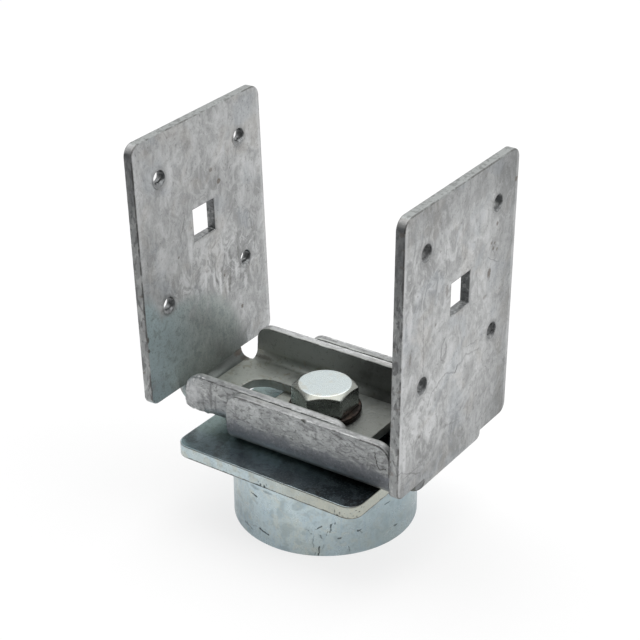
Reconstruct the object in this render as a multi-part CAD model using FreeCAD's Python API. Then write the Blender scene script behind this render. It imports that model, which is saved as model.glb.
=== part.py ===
import FreeCAD, Part
import math
import os

# Adjustable timber post base: two folded brackets nest into one U, and a single
# hex bolt clamps them to a square plate welded on a round collar.
# Millimetres, +Z up, X from the left upright to the right one.
# The origin is on the collar's axis, at its lower rim.

V = FreeCAD.Vector

# Cutters run past the faces they open by this much
overrun = 1.0

# Sheet of both brackets
sheet = 4.0
bend_inner_r = 3.5

# Uprights: the two wide plates that hold the post
clear_width = 112.0
upright_width = 82.5
upright_top = 161.0
upright_top_corner_r = 5.0
upright_foot_corner_r = 4.0
foot_rise = 0.5
left_lean_deg = 2.0
right_lean_deg = 0.8

# Holes in each upright, set out from its top edge
pattern_below_top = 45.5
hole_spacing_y = 52.0
hole_spacing_z = 54.5
screw_hole_d = 7.0
square_hole = 13.5

# Channels: web and two flanges, the left one lying inside the right one
channel_reach = 83.0
relief_length = 2.5
flange_corner_r = 6.5
inner_channel_width = 53.4
nest_gap = 0.3
right_flange_height = 22.6
right_neck_width = 43.0

# Hex bolt and flat washer
bolt_d = 16.0
bolt_length = 30.0
bolt_end_chamfer = 1.2
head_height = 10.0
head_turn_deg = 32.0
washer_d = 30.0
washer_thickness = 3.0

# Hexagon shared by the bolt's head and the captive nut
across_flats = 24.0
hex_face_step = 1.25
hex_chamfer_deg = 30.0

# Clearances round the bolt, on the diameter
slot_clearance = 1.5
washer_clearance = 1.0
cap_clearance = 1.0
thread_clearance = 0.1

# Slots that let the brackets slide past the bolt
slot_near_centre = 24.5
slide_out = 4.0

# Square plate, collar and captive nut
cap_side = 87.5
cap_thickness = 5.5
cap_corner_r = 6.0
cap_turn_deg = -1.0
collar_d = 76.1
collar_wall = 2.9
collar_length = 31.5
collar_weld_leg = 3.5
nut_height = 13.0
nut_weld_leg = 3.5

# Levels that follow from the stack
cap_underside = collar_length
cap_top = cap_underside + cap_thickness
right_web_base = cap_top
left_web_base = right_web_base + sheet
left_web_top = left_web_base + sheet
washer_top = left_web_top + washer_thickness
flange_top = right_web_base + right_flange_height

# Sizes that follow from the ones above; the left neck is as wide as its web is flat
bend_outer_r = bend_inner_r + sheet
left_neck_width = inner_channel_width - 2 * bend_outer_r
outer_channel_width = inner_channel_width + 2 * nest_gap + 2 * sheet
slot_width = bolt_d + slot_clearance
collar_inner_r = collar_d / 2 - collar_wall
hex_corner_r = across_flats / math.sqrt(3)


def box(x0, x1, y0, y1, z0, z1):
    """Box between two corners."""
    return Part.makeBox(x1 - x0, y1 - y0, z1 - z0, V(x0, y0, z0))


def cylinder(diameter, z0, z1):
    """Upright cylinder on the bolt's axis."""
    return Part.makeCylinder(diameter / 2, z1 - z0, V(0, 0, z0))


def turned(profile):
    """Solid turned about the Z axis from (radius, height) points."""
    points = [V(r, 0, z) for r, z in profile]
    face = Part.Face(Part.makePolygon(points + points[:1]))
    return face.revolve(V(0, 0, 0), V(0, 0, 1), 360)


def hexagon(z0, z1, turn_deg):
    """Hexagonal prism with one corner at turn_deg from +X."""
    angles = [math.radians(turn_deg + 60 * i) for i in range(6)]
    points = [V(hex_corner_r * math.cos(a), hex_corner_r * math.sin(a), z0) for a in angles]
    return Part.Face(Part.makePolygon(points + points[:1])).extrude(V(0, 0, z1 - z0))


def chamfered_hexagon(plain_z, chamfered_z, turn_deg):
    """Hexagonal prism whose corners are turned off at one end."""
    face_r = across_flats / 2 - hex_face_step
    outer_r = hex_corner_r + overrun
    drop = (outer_r - face_r) * math.tan(math.radians(hex_chamfer_deg))
    shoulder_z = chamfered_z - math.copysign(drop, chamfered_z - plain_z)
    crown = turned([(0, plain_z), (outer_r, plain_z), (outer_r, shoulder_z),
                    (face_r, chamfered_z), (0, chamfered_z)])
    return hexagon(plain_z, chamfered_z, turn_deg).common(crown)


def round_corners(solid, radius, along, keep):
    """Fillets the straight edges that run along a direction and pass the test."""
    def chosen(edge):
        if not isinstance(edge.Curve, Part.Line):
            return False
        direction = edge.tangentAt(edge.FirstParameter)
        return abs(direction.dot(along)) > 0.999 and keep(edge.CenterOfMass)
    return solid.makeFillet(radius, [edge for edge in solid.Edges if chosen(edge)])


def upright(foot_z, inner_x):
    """Plate before it leans: inner face at inner_x, outer face one sheet further out."""
    half = upright_width / 2
    plate = box(inner_x - sheet, inner_x, -half, half, foot_z, upright_top)
    middle = (foot_z + upright_top) / 2
    across = V(1, 0, 0)
    plate = round_corners(plate, upright_top_corner_r, across, lambda c: c.z > middle)
    return round_corners(plate, upright_foot_corner_r, across, lambda c: c.z < middle)


def upright_holes(inner_x, reach):
    """Cutters for four screw holes round one square hole, level across the U."""
    pattern_z = upright_top - pattern_below_top
    half = square_hole / 2
    cutters = [box(inner_x - reach, inner_x + reach, -half, half, pattern_z - half, pattern_z + half)]
    for side_y in (-1, 1):
        for side_z in (-1, 1):
            y = side_y * hole_spacing_y / 2
            z = pattern_z + side_z * hole_spacing_z / 2
            start = V(inner_x - reach, y, z)
            cutters.append(Part.makeCylinder(screw_hole_d / 2, 2 * reach, start, V(1, 0, 0)))
    return cutters


def channel(x0, x1, width, web_base):
    """Web with two upturned flanges, their upper corners rounded at both ends."""
    outer_half = width / 2
    inner_half = outer_half - sheet
    outer = box(x0, x1, -outer_half, outer_half, web_base, flange_top)
    inner = box(x0 - overrun, x1 + overrun, -inner_half, inner_half,
                web_base + sheet, flange_top + overrun)
    middle = (web_base + flange_top) / 2
    along = V(1, 0, 0)
    outer = round_corners(outer, bend_outer_r, along, lambda c: c.z < middle)
    inner = round_corners(inner, bend_inner_r, along, lambda c: c.z < middle)
    trough = outer.cut(inner)
    return round_corners(trough, flange_corner_r, V(0, 1, 0), lambda c: c.z > middle)


def slot(near_x, far_x, web_base):
    """Round-ended cutter through the web."""
    low = web_base - overrun
    high = web_base + sheet + overrun
    cutter = box(near_x, far_x, -slot_width / 2, slot_width / 2, low, high)
    ends = [Part.makeCylinder(slot_width / 2, high - low, V(x, 0, low)) for x in (near_x, far_x)]
    return cutter.fuse(ends)


def bracket(web_base, width, neck_width, lean_deg):
    """One folded sheet: leaning upright, fold, neck and slotted channel, upright at -X."""
    inner_x = -clear_width / 2
    fold_x = inner_x + bend_inner_r
    fold_z = web_base + sheet + bend_inner_r
    foot_z = fold_z + foot_rise
    flange_x = fold_x + relief_length
    end_x = inner_x + channel_reach
    neck = neck_width / 2

    # The upright and the short neck under it turn outward about the fold's own axis
    riser = box(inner_x - sheet, inner_x, -neck, neck, fold_z, foot_z + upright_foot_corner_r)
    plate = upright(foot_z, inner_x).fuse(riser)
    plate.rotate(V(fold_x, 0, fold_z), V(0, 1, 0), -lean_deg)

    # The fold is a sheet-thick sector from the web round to the plate's foot
    strip = Part.makePolygon([
        V(fold_x, -neck, web_base), V(fold_x, neck, web_base),
        V(fold_x, neck, web_base + sheet), V(fold_x, -neck, web_base + sheet),
        V(fold_x, -neck, web_base)])
    fold = Part.Face(strip).revolve(V(fold_x, 0, fold_z), V(0, 1, 0), 90 - lean_deg)

    # The neck runs on to the channel past the open corner reliefs
    bridge = box(fold_x, flange_x, -neck, neck, web_base, web_base + sheet)
    body = channel(flange_x, end_x, width, web_base).fuse([bridge, fold, plate])
    body = body.cut(slot(inner_x + slot_near_centre, slide_out, web_base))

    # The hole cutters reach past the plate however far it leans
    lean_run = abs(math.sin(math.radians(lean_deg))) * (upright_top - fold_z)
    return body.cut(upright_holes(inner_x, lean_run + 2 * sheet)).removeSplitter()


def left_bracket():
    """Inner channel, lying on the right bracket's web."""
    return bracket(left_web_base, inner_channel_width, left_neck_width, left_lean_deg)


def right_bracket():
    """Outer channel, lying on the square plate."""
    body = bracket(right_web_base, outer_channel_width, right_neck_width, right_lean_deg)
    body.rotate(V(0, 0, 0), V(0, 0, 1), 180)
    return body


def hex_bolt():
    """Bolt with a chamfered hex head and a plain cylinder for its thread."""
    head = chamfered_hexagon(washer_top, washer_top + head_height, head_turn_deg)
    radius = bolt_d / 2
    tip = washer_top - bolt_length
    shank = turned([(0, tip), (radius - bolt_end_chamfer, tip), (radius, tip + bolt_end_chamfer),
                    (radius, washer_top), (0, washer_top)])
    return head.fuse(shank).removeSplitter()


def flat_washer():
    """Plain round washer under the head."""
    disc = cylinder(washer_d, left_web_top, washer_top)
    return disc.cut(cylinder(bolt_d + washer_clearance, left_web_top - overrun, washer_top + overrun))


def cap_plate():
    """Square plate with rounded corners and a clearance hole."""
    half = cap_side / 2
    plate = box(-half, half, -half, half, cap_underside, cap_top)
    plate = round_corners(plate, cap_corner_r, V(0, 0, 1), lambda c: True)
    plate = plate.cut(cylinder(bolt_d + cap_clearance, cap_underside - overrun, cap_top + overrun))
    plate.rotate(V(0, 0, 0), V(0, 0, 1), cap_turn_deg)
    return plate


def collar_ring():
    """Length of tube that slips over the ground screw."""
    tube = cylinder(collar_d, 0, collar_length)
    return tube.cut(cylinder(2 * collar_inner_r, -overrun, collar_length + overrun))


def collar_weld():
    """Fillet bead inside the collar, under the square plate."""
    return turned([(collar_inner_r - collar_weld_leg, cap_underside), (collar_inner_r, cap_underside),
                   (collar_inner_r, cap_underside - collar_weld_leg)])


def weld_nut():
    """Captive hex nut under the square plate."""
    base = cap_underside - nut_height
    nut = chamfered_hexagon(cap_underside, base, cap_turn_deg)
    return nut.cut(cylinder(bolt_d + thread_clearance, base - overrun, cap_underside + overrun))


def nut_weld():
    """Fillet bead round the captive nut."""
    toe = cap_underside - nut_weld_leg
    bead = turned([(0, cap_underside), (hex_corner_r + nut_weld_leg, cap_underside),
                   (hex_corner_r, toe), (0, toe)])
    return bead.cut(hexagon(toe - overrun, cap_underside + overrun, cap_turn_deg))


pieces = {
    "left_bracket": left_bracket,
    "right_bracket": right_bracket,
    "hex_bolt": hex_bolt,
    "flat_washer": flat_washer,
    "cap_plate": cap_plate,
    "collar_ring": collar_ring,
    "collar_weld": collar_weld,
    "weld_nut": weld_nut,
    "nut_weld": nut_weld,
}

os.makedirs("parts", exist_ok=True)
for name, make in pieces.items():
    shape = make()
    shape.exportStep(f"parts/{name}.step")
    print(name, "solids", len(shape.Solids), "valid", shape.isValid(), "volume", round(shape.Volume, 1))
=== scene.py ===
import bpy
import bmesh
import math
from mathutils import Matrix, Vector, noise


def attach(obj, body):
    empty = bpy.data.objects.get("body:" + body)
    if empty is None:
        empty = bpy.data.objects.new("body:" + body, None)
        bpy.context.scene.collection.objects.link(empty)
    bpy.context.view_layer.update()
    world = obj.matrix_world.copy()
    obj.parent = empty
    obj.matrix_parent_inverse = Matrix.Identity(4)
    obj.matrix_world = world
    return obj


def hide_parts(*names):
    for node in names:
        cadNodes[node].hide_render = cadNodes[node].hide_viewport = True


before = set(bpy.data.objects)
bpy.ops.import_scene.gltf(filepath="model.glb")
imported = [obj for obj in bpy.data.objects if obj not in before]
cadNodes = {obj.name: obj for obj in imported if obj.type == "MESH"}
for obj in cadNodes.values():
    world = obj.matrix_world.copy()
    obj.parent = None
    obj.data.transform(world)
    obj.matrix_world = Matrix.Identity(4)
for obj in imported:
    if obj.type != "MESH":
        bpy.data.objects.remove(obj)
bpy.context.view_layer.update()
print("stage 1: frame loaded,", len(cadNodes), "nodes")


# Small helpers

def mm(value):
    return value / 1000


def perMetre(millimetres):
    return 1000 / millimetres  # pattern scale for features this many millimetres apart


def hexColour(code):
    parts = [int(code[i:i + 2], 16) / 255 for i in (1, 3, 5)]
    return tuple(p / 12.92 if p <= 0.04045 else ((p + 0.055) / 1.055) ** 2.4 for p in parts) + (1.0,)


def addNode(tree, kind, settings=None, inputs=None):
    node = tree.nodes.new(kind)  # inputs: socket name or number -> a value, or the socket that feeds it
    for key, value in (settings or {}).items():
        setattr(node, key, value)
    for key, value in (inputs or {}).items():
        if isinstance(value, bpy.types.NodeSocket):
            tree.links.new(value, node.inputs[key])
        else:
            node.inputs[key].default_value = value
    return node


def newMaterial(name):
    material = bpy.data.materials.new(name)
    material.use_nodes = True
    material.node_tree.nodes.clear()
    return material, material.node_tree


def coat(tree, colour, pattern, low, high, tint, amount=1.0, blend="MIX"):
    # Lays a tint over a colour where the pattern passes from low to high
    mask = addNode(tree, "ShaderNodeMapRange", {"interpolation_type": "SMOOTHSTEP"},
                   {"Value": pattern, "From Min": low, "From Max": high, "To Min": 0.0, "To Max": amount})
    return addNode(tree, "ShaderNodeMix", {"data_type": "RGBA", "blend_type": blend},
                   {0: mask.outputs[0], 6: colour, 7: hexColour(tint)}).outputs[2]


# Outlines of marks and lines, made irregular by a noise; sizes are in millimetres
drawing = {
    "markGrain": 1.1,
    "markGone": 1.55,        # where a mark ends and where it is full: radii from its centre, plus the noise
    "markFull": 0.95,
    "waveLength": 2.6,
    "waveHeight": 2.4,
    "lineGone": 1.5,         # widths from a line's middle
    "lineFull": 0.5,
    "detail": 3.0,
}


def markMask(tree, place, within, marks):
    # Highest of many soft spots; each mark is centre (mm), radii (mm), strength
    rough = addNode(tree, "ShaderNodeTexNoise", None,
                    {"Vector": place, "Scale": perMetre(drawing["markGrain"]), "Detail": drawing["detail"]})
    total = 0.0
    for centre, radii, strength in marks:
        near = addNode(tree, "ShaderNodeVectorMath", {"operation": "SUBTRACT"},
                       {0: place, 1: [mm(c) for c in centre]}).outputs[0]
        near = addNode(tree, "ShaderNodeVectorMath", {"operation": "DIVIDE"},
                       {0: near, 1: [mm(r) for r in radii]}).outputs[0]
        far = addNode(tree, "ShaderNodeVectorMath", {"operation": "LENGTH"}, {0: near}).outputs["Value"]
        far = addNode(tree, "ShaderNodeMath", {"operation": "ADD"}, {0: far, 1: rough.outputs[0]}).outputs[0]
        spot = addNode(tree, "ShaderNodeMapRange", {"interpolation_type": "SMOOTHSTEP"},
                       {"Value": far, "From Min": drawing["markGone"], "From Max": drawing["markFull"],
                        "To Max": strength}).outputs[0]
        total = addNode(tree, "ShaderNodeMath", {"operation": "MAXIMUM"}, {0: total, 1: spot}).outputs[0]
    return addNode(tree, "ShaderNodeMath", {"operation": "MULTIPLY"}, {0: total, 1: within}).outputs[0]


def strokeMask(tree, place, within, keep, strokes):
    # Thin wavering lines through points (mm), each with its width (mm) and strength; keep zeroes the axis
    # across the face they lie on
    wander = addNode(tree, "ShaderNodeTexNoise", None,
                     {"Vector": place, "Scale": perMetre(drawing["waveLength"]), "Detail": drawing["detail"]})
    wander = addNode(tree, "ShaderNodeVectorMath", {"operation": "SUBTRACT"},
                     {0: wander.outputs["Color"], 1: (0.5, 0.5, 0.5)}).outputs[0]
    wander = addNode(tree, "ShaderNodeVectorMath", {"operation": "SCALE"},
                     {0: wander, "Scale": mm(drawing["waveHeight"])}).outputs[0]
    moved = addNode(tree, "ShaderNodeVectorMath", {"operation": "ADD"}, {0: place, 1: wander}).outputs[0]
    moved = addNode(tree, "ShaderNodeVectorMath", {"operation": "MULTIPLY"}, {0: moved, 1: keep}).outputs[0]
    total = 0.0
    for points, width, strength in strokes:
        for start, end in zip(points, points[1:]):
            start, end = Vector([mm(c) for c in start]), Vector([mm(c) for c in end])
            run = end - start
            reach = addNode(tree, "ShaderNodeVectorMath", {"operation": "SUBTRACT"}, {0: moved, 1: start}).outputs[0]
            share = addNode(tree, "ShaderNodeVectorMath", {"operation": "DOT_PRODUCT"},
                            {0: reach, 1: run / run.length_squared}).outputs["Value"]
            share = addNode(tree, "ShaderNodeClamp", None, {0: share}).outputs[0]
            foot = addNode(tree, "ShaderNodeVectorMath", {"operation": "SCALE"}, {0: run, "Scale": share}).outputs[0]
            away = addNode(tree, "ShaderNodeVectorMath", {"operation": "DISTANCE"},
                           {0: reach, 1: foot}).outputs["Value"]
            line = addNode(tree, "ShaderNodeMapRange", {"interpolation_type": "SMOOTHSTEP"},
                           {"Value": away, "From Min": mm(width * drawing["lineGone"]),
                            "From Max": mm(width * drawing["lineFull"]), "To Max": strength}).outputs[0]
            total = addNode(tree, "ShaderNodeMath", {"operation": "MAXIMUM"}, {0: total, 1: line}).outputs[0]
    return addNode(tree, "ShaderNodeMath", {"operation": "MULTIPLY"}, {0: total, 1: within}).outputs[0]


def ovalMask(tree, place, ovals):
    # Highest of soft ovals on an upright: centre and radii along Y and Z (mm), where full, where gone, strength
    total = 0.0
    for centreY, centreZ, radiusY, radiusZ, full, gone, strength in ovals:
        away = addNode(tree, "ShaderNodeVectorMath", {"operation": "SUBTRACT"},
                       {0: place, 1: (0, mm(centreY), mm(centreZ))}).outputs[0]
        away = addNode(tree, "ShaderNodeVectorMath", {"operation": "MULTIPLY"},
                       {0: away, 1: (0, perMetre(radiusY), perMetre(radiusZ))}).outputs[0]
        squared = addNode(tree, "ShaderNodeVectorMath", {"operation": "DOT_PRODUCT"},
                          {0: away, 1: away}).outputs["Value"]
        oval = addNode(tree, "ShaderNodeMapRange", {"interpolation_type": "SMOOTHSTEP"},
                       {"Value": squared, "From Min": gone, "From Max": full, "To Max": strength}).outputs[0]
        total = addNode(tree, "ShaderNodeMath", {"operation": "MAXIMUM"}, {0: total, 1: oval}).outputs[0]
    return total


# Camera, at the photograph's angle
camera = {
    "place": (0.3577, -0.5301, 0.4250),
    "azimuth": 34.17,
    "elevation": 27.88,
    "roll": -0.43,
    "lens": 102.9,
    "sensor": 36.0,
    "nearest": 0.01,
    "farthest": 20,
}


def makeCamera(look):
    azimuth, elevation, roll = (math.radians(look[key]) for key in ("azimuth", "elevation", "roll"))
    back = Vector((math.sin(azimuth) * math.cos(elevation),
                   -math.cos(azimuth) * math.cos(elevation), math.sin(elevation)))
    data = bpy.data.cameras.new("camera")
    data.lens = look["lens"]
    data.sensor_width = look["sensor"]
    data.clip_start = look["nearest"]
    data.clip_end = look["farthest"]
    cameraObject = bpy.data.objects.new("camera", data)
    bpy.context.scene.collection.objects.link(cameraObject)
    turn = (-back).to_track_quat("-Z", "Y").to_matrix() @ Matrix.Rotation(roll, 3, "Z")
    cameraObject.matrix_world = Matrix.Translation(Vector(look["place"])) @ turn.to_4x4()
    bpy.context.scene.camera = cameraObject


# Studio: a white sheet on a dark floor, soft lamps above and behind
studio = {
    "floorSize": 40.0,
    "floorWhite": "#f2f2f2",
    "shadowShare": 0.25,     # of the seen floor's white that shadows can darken
    "shadowReach": 0.35,     # from here the shadows fade out, so no horizon shows
    "shadowGone": 1.05,
    "frontAzimuth": 8.0,     # the side where the white sheet ends, from -Y towards +X
    "sheetFront": 0.21,
    "sheetFade": 0.18,
    "sheetGlow": 0.35,       # keeps the object's shadow faint in reflections
    "darkFront": "#505153",
    "worldBack": 0.95,
    "worldFront": 0.20,
    "dimFrom": 0.05,         # cosine of the angle from the front, where the world starts to dim
    "dimFull": 0.65,
    "aimHeight": 0.08,
    "lamps": [
        {"name": "topLamp", "size": 1.8, "power": 16, "place": (-0.25, 0.35, 1.5)},
        {"name": "sideLamp", "size": 1.2, "power": 9, "place": (1.5, 0.45, 0.9)},
    ],
}


def makeStudio(look):
    turn = math.radians(look["frontAzimuth"])
    front = Vector((math.sin(turn), -math.cos(turn), 0))

    # The world is bright overhead and behind, dark in front, and white where the camera sees it
    world = bpy.data.worlds.new("studioLight")
    bpy.context.scene.world = world
    world.use_nodes = True
    tree = world.node_tree
    tree.nodes.clear()
    direction = addNode(tree, "ShaderNodeTexCoord").outputs["Generated"]
    facing = addNode(tree, "ShaderNodeVectorMath", {"operation": "DOT_PRODUCT"}, {0: direction, 1: front})
    dimming = addNode(tree, "ShaderNodeMapRange", {"interpolation_type": "SMOOTHSTEP"},
                      {"Value": facing.outputs["Value"], "From Min": look["dimFrom"],
                       "From Max": look["dimFull"], "To Min": look["worldBack"], "To Max": look["worldFront"]})
    ray = addNode(tree, "ShaderNodeLightPath")
    strength = addNode(tree, "ShaderNodeMix", {"data_type": "FLOAT"},
                       {0: ray.outputs["Is Camera Ray"], 2: dimming.outputs[0], 3: 1.0})
    background = addNode(tree, "ShaderNodeBackground", None,
                         {"Color": (1, 1, 1, 1), "Strength": strength.outputs[0]})
    addNode(tree, "ShaderNodeOutputWorld", None, {"Surface": background.outputs[0]})

    # The floor is seen white with a faint shadow; its front part is dark in reflections
    half = look["floorSize"] / 2
    mesh = bpy.data.meshes.new("floor")
    mesh.from_pydata([(-half, -half, 0), (half, -half, 0), (half, half, 0), (-half, half, 0)], [], [(0, 1, 2, 3)])
    floor = bpy.data.objects.new("floor", mesh)
    bpy.context.scene.collection.objects.link(floor)
    material, tree = newMaterial("whitePaperSheet")
    place = addNode(tree, "ShaderNodeTexCoord").outputs["Object"]
    along = addNode(tree, "ShaderNodeVectorMath", {"operation": "DOT_PRODUCT"}, {0: place, 1: front})
    edge = addNode(tree, "ShaderNodeMapRange", {"interpolation_type": "SMOOTHSTEP"},
                   {"Value": along.outputs["Value"], "From Min": look["sheetFront"] - look["sheetFade"] / 2,
                    "From Max": look["sheetFront"] + look["sheetFade"] / 2})
    paper = addNode(tree, "ShaderNodeMix", {"data_type": "RGBA"},
                    {0: edge.outputs[0], 6: hexColour(look["floorWhite"]), 7: hexColour(look["darkFront"])})
    lit = addNode(tree, "ShaderNodeBsdfDiffuse", None, {"Color": paper.outputs[2]})
    shine = addNode(tree, "ShaderNodeEmission", None, {"Color": paper.outputs[2], "Strength": 1.0})
    lit = addNode(tree, "ShaderNodeMixShader", None,
                  {0: look["sheetGlow"], 1: lit.outputs[0], 2: shine.outputs[0]})
    seen = addNode(tree, "ShaderNodeBsdfDiffuse", None, {"Color": hexColour(look["floorWhite"])})
    glow = addNode(tree, "ShaderNodeEmission", None, {"Color": (1, 1, 1, 1), "Strength": 1.0})
    distance = addNode(tree, "ShaderNodeVectorMath", {"operation": "LENGTH"}, {0: place}).outputs["Value"]
    shadowed = addNode(tree, "ShaderNodeMapRange", {"interpolation_type": "SMOOTHSTEP"},
                       {"Value": distance, "From Min": look["shadowReach"], "From Max": look["shadowGone"],
                        "To Min": look["shadowShare"], "To Max": 0.0}).outputs[0]
    pale = addNode(tree, "ShaderNodeMixShader", None, {0: shadowed, 1: glow.outputs[0], 2: seen.outputs[0]})
    ray = addNode(tree, "ShaderNodeLightPath")
    surface = addNode(tree, "ShaderNodeMixShader", None,
                      {0: ray.outputs["Is Camera Ray"], 1: lit.outputs[0], 2: pale.outputs[0]})
    addNode(tree, "ShaderNodeOutputMaterial", None, {"Surface": surface.outputs[0]})
    mesh.materials.append(material)

    for lamp in look["lamps"]:
        data = bpy.data.lights.new(lamp["name"], "AREA")
        data.shape = "SQUARE"
        data.size = lamp["size"]
        data.energy = lamp["power"]
        lampObject = bpy.data.objects.new(lamp["name"], data)
        bpy.context.scene.collection.objects.link(lampObject)
        lampObject.location = lamp["place"]
        lampObject.rotation_mode = "QUATERNION"
        aim = Vector((0, 0, look["aimHeight"])) - Vector(lamp["place"])
        lampObject.rotation_quaternion = aim.to_track_quat("-Z", "Y")


# Meshes

def placePiece(name, mesh, body, material, replaced=()):
    piece = bpy.data.objects.new(name, mesh)
    bpy.context.scene.collection.objects.link(piece)
    mesh.materials.append(material)
    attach(piece, body)
    if replaced:
        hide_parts(*replaced)
    return piece


def joinRings(bm, rings, closed=False):
    # Quads between rings of points in millimetres; a ring of one point is a pole
    rows = [[bm.verts.new([mm(c) for c in point]) for point in ring] for ring in rings]
    pairs = list(zip(rows, rows[1:]))
    if closed:
        pairs.append((rows[-1], rows[0]))
    for lower, upper in pairs:
        count = max(len(lower), len(upper))
        for i in range(count):
            j = (i + 1) % count
            corners = [lower[i % len(lower)], lower[j % len(lower)], upper[j % len(upper)], upper[i % len(upper)]]
            bm.faces.new(list(dict.fromkeys(corners)))


def smoothMesh(name, bm):
    bmesh.ops.recalc_face_normals(bm, faces=bm.faces)
    for face in bm.faces:
        face.smooth = True
    mesh = bpy.data.meshes.new(name)
    bm.to_mesh(mesh)
    bm.free()
    return mesh


def skinRings(name, rings, closed=False):
    bm = bmesh.new()
    joinRings(bm, rings, closed)
    return smoothMesh(name, bm)


def ringAt(count, radius, height, start=0.0):
    # One ring of points; radius and height are numbers or functions of the angle
    ring = []
    for i in range(count):
        angle = start + 2 * math.pi * i / count
        r = radius(angle) if callable(radius) else radius
        z = height(angle) if callable(height) else height
        ring.append((r * math.cos(angle), r * math.sin(angle), z))
    return ring


# Materials are tables, worked through in order by makeMetal. Lengths are in millimetres.
# spaces: name, source, shift (m), turn (degrees), stretch
# noises: name, space, size of a feature, detail, distortion, roughness
# cells: name, space, size of a cell
# sums: name, operation, terms
# ovals: name, soft ovals on an upright (see ovalMask)
# regions: name, strength or the region it lies within, pattern, where it starts, where it is full
# spans: name, pattern, low and high, value at each
# blends: name, share, under, over
# strokes: name, within, axes kept, lines (see strokeMask)
# marks: name, within, spots (see markMask)
# surfaces: region (None: everywhere), first colour (None: what lies under), layers over it;
#           a layer is pattern, where it starts, where it is full, tint, amount, perhaps how it blends
tableNames = ("spaces", "noises", "cells", "sums", "ovals", "regions", "spans", "blends", "strokes", "marks",
              "surfaces")


def makeMetal(name, *looks):
    # named holds the single values of the looks, then every socket made, so that tables call both by name
    tables = {key: sum((look.get(key, []) for look in looks), []) for key in tableNames}
    named = {key: value for look in looks for key, value in look.items() if key not in tableNames}

    def known(value):
        return named.get(value, value)

    material, tree = newMaterial(name)
    place = named["place"] = addNode(tree, "ShaderNodeTexCoord").outputs["Object"]
    millimetres = addNode(tree, "ShaderNodeVectorMath", {"operation": "SCALE"}, {0: place, "Scale": perMetre(1)})
    named["x"], named["y"], named["z"] = addNode(
        tree, "ShaderNodeSeparateXYZ", None, {0: millimetres.outputs[0]}).outputs
    for key, source, shift, turn, stretch in tables["spaces"]:
        named[key] = addNode(tree, "ShaderNodeMapping", None,
                             {"Vector": named[source], "Location": shift,
                              "Rotation": [math.radians(angle) for angle in turn], "Scale": stretch}).outputs[0]
    for key, space, size, detail, distortion, roughness in tables["noises"]:
        named[key] = addNode(tree, "ShaderNodeTexNoise", None,
                             {"Vector": named[space], "Scale": perMetre(size), "Detail": detail,
                              "Distortion": distortion, "Roughness": roughness}).outputs[0]
    for key, space, size in tables["cells"]:
        named[key] = addNode(tree, "ShaderNodeTexVoronoi", None,
                             {"Vector": named[space], "Scale": perMetre(size)}).outputs["Distance"]
    named["rim"] = addNode(tree, "ShaderNodeAttribute", {"attribute_name": "rim"}).outputs["Fac"]
    for key, operation, *terms in tables["sums"]:
        named[key] = addNode(tree, "ShaderNodeMath", {"operation": operation},
                             {i: known(term) for i, term in enumerate(terms)}).outputs[0]
    for key, ovals in tables["ovals"]:
        named[key] = ovalMask(tree, place, ovals)
    for key, within, pattern, start, full in tables["regions"]:
        named[key] = addNode(tree, "ShaderNodeMapRange", {"interpolation_type": "SMOOTHSTEP"},
                             {"Value": named[pattern], "From Min": known(start), "From Max": known(full),
                              "To Max": known(within)}).outputs[0]
    for key, pattern, low, high, atLow, atHigh in tables["spans"]:
        named[key] = addNode(tree, "ShaderNodeMapRange", None,
                             {"Value": named[pattern], "From Min": low, "From Max": high, "To Min": atLow,
                              "To Max": atHigh}).outputs[0]
    for key, share, under, over in tables["blends"]:
        named[key] = addNode(tree, "ShaderNodeMix", {"data_type": "FLOAT"},
                             {0: known(share), 2: known(under), 3: known(over)}).outputs[0]
    for key, within, keep, strokes in tables["strokes"]:
        named[key] = strokeMask(tree, place, known(within), keep, strokes)
    for key, within, marks in tables["marks"]:
        named[key] = markMask(tree, place, known(within), marks)

    colour = hexColour(named["body"])
    for region, first, layers in tables["surfaces"]:
        over = colour if first is None else hexColour(known(first))
        for pattern, low, high, tint, amount, *blend in layers:
            over = coat(tree, over, named[pattern], low, high, known(tint), known(amount), *blend)
        colour = over if region is None else addNode(
            tree, "ShaderNodeMix", {"data_type": "RGBA"}, {0: named[region], 6: colour, 7: over}).outputs[2]

    bump = addNode(tree, "ShaderNodeBump", None,
                   {"Strength": named["bumpStrength"], "Distance": mm(named["bumpDepth"]),
                    "Height": known(named["relief"])})
    shader = addNode(tree, "ShaderNodeBsdfPrincipled", None,
                     {"Base Color": colour, "Metallic": named["metal"], "Roughness": named["gloss"],
                      "Normal": bump.outputs[0]})
    addNode(tree, "ShaderNodeOutputMaterial", None, {"Surface": shader.outputs[0]})
    return material


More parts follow.
